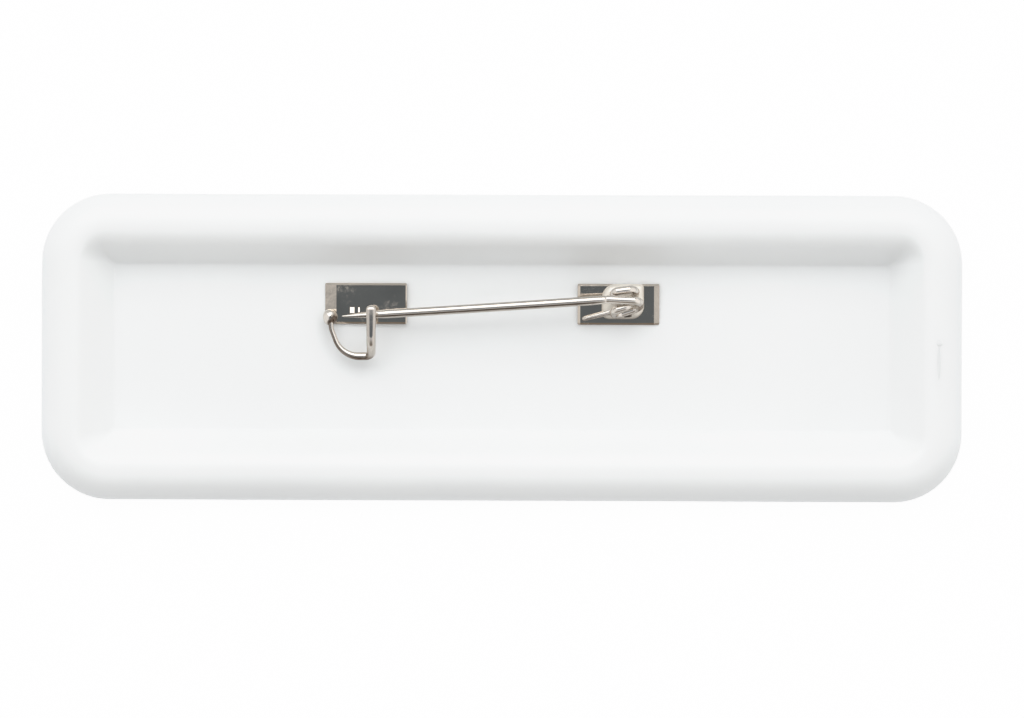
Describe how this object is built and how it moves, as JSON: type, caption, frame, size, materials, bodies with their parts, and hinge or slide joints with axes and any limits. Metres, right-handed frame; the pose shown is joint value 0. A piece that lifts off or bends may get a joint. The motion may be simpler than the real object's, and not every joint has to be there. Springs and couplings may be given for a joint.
{
  "type": "pin-back badge",
  "caption": "Long rectangular plastic badge with a recessed back, an arched rim, and a straight wire pin that turns at a small coil and tucks under a bent wire catch.",
  "frame": {"origin": "bottom centre of the badge lying on its front face, so Z = 0 is the front face", "axes": "+X along the badge from the catch towards the hinge, +Y across it towards the edge that the plates are nearer to, +Z from the front face out of the back"},
  "size_m": [0.09, 0.03, 0.006],
  "materials": {
    "white_plastic": "moulded white plastic, satin, slightly translucent",
    "plate_nickel": "nickel plate, polished, slightly scuffed",
    "wire_nickel": "nickel-plated wire, polished"
  },
  "bodies": {
    "badge": {"badge_body": "white_plastic", "catch_plate": "plate_nickel", "catch_hook": "wire_nickel", "hinge_plate": "plate_nickel", "pin_spring": "wire_nickel"},
    "pin": {"pin_arm": "wire_nickel"}
  },
  "joints": [
    {"name": "pin_swing", "type": "hinge", "parent": "badge", "child": "pin", "pos_m": [0.0103, 0.00475, 0.0053], "axis": [0.9498, 0.0631, -0.3064], "range_deg": [0, 180]}
  ]
}
